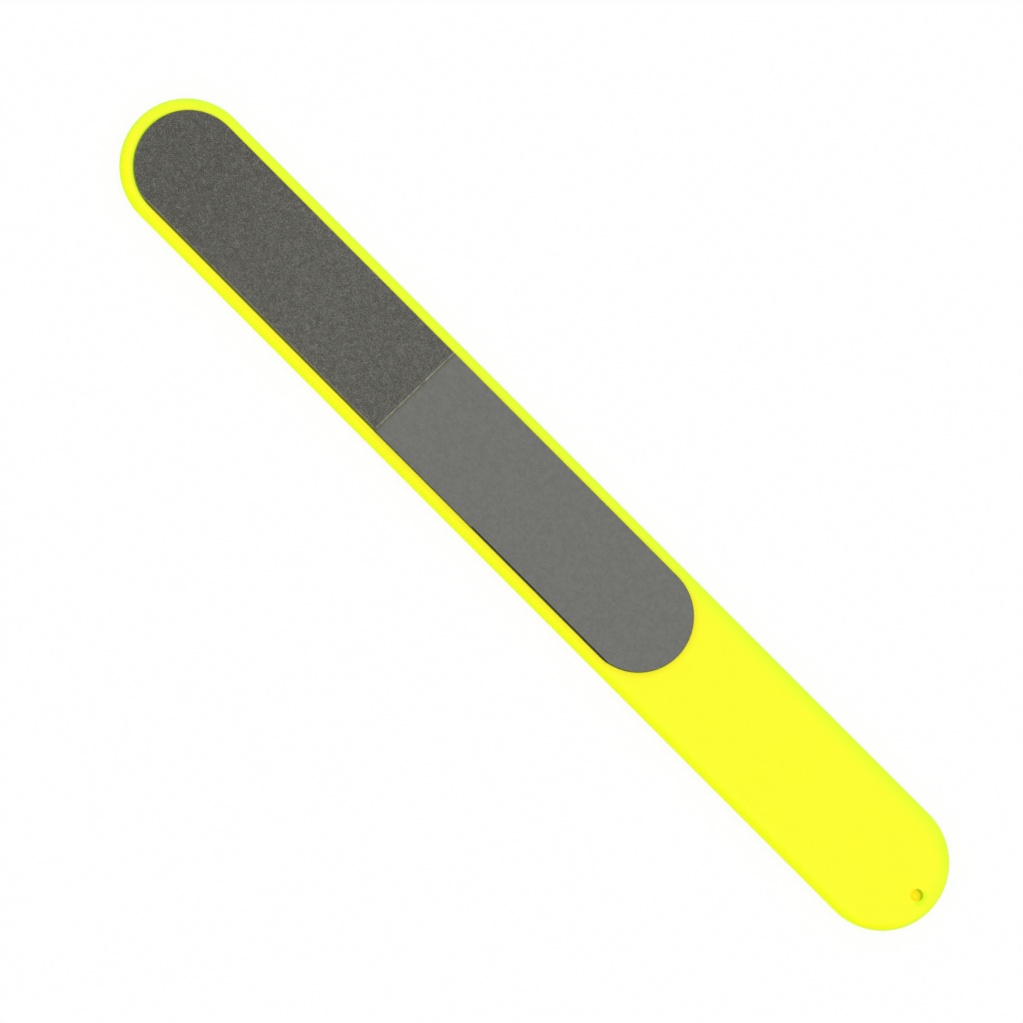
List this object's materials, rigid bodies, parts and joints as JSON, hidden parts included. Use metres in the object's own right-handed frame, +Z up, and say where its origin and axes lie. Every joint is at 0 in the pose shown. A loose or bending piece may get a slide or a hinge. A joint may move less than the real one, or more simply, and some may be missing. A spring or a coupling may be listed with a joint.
{
  "type": "paddle nail file",
  "caption": "Long round-ended plastic paddle file with abrasive sheets bonded into a shallow recess on each face, and a small round gate recess near the end of the handle.",
  "frame": {"origin": "under the middle of the file, in the plane of the back sheets' grit on which it rests", "axes": "+X along the file towards the bare end of the handle, +Y across the file, +Z up out of the front face with the coarse and the fine sheet"},
  "size_m": [0.25, 0.0306, 0.005],
  "materials": {
    "handle_plastic": "fine satin, fluorescent yellow",
    "adhesive_film": "thin translucent pressure-sensitive film",
    "tan_paper": "tan latex-filled paper, its cut edge showing at the joint",
    "charcoal_paper": "charcoal waterproof paper, its cut edge showing as a thin dark line",
    "coarse_grit": "coarse grey abrasive grain in resin",
    "fine_grit": "fine grey abrasive grain in resin",
    "medium_grit": "medium grey abrasive grain in resin",
    "extra_fine_grit": "extra fine grey abrasive grain in resin"
  },
  "bodies": {
    "root": {"handle_body": "handle_plastic", "front_coarse_adhesive_film": "adhesive_film", "front_coarse_backing_paper": "tan_paper", "front_coarse_grit_coat": "coarse_grit", "front_fine_adhesive_film": "adhesive_film", "front_fine_backing_paper": "charcoal_paper", "front_fine_grit_coat": "fine_grit", "back_medium_adhesive_film": "adhesive_film", "back_medium_backing_paper": "tan_paper", "back_medium_grit_coat": "medium_grit", "back_extra_fine_adhesive_film": "adhesive_film", "back_extra_fine_backing_paper": "charcoal_paper", "back_extra_fine_grit_coat": "extra_fine_grit"}
  },
  "joints": []
}
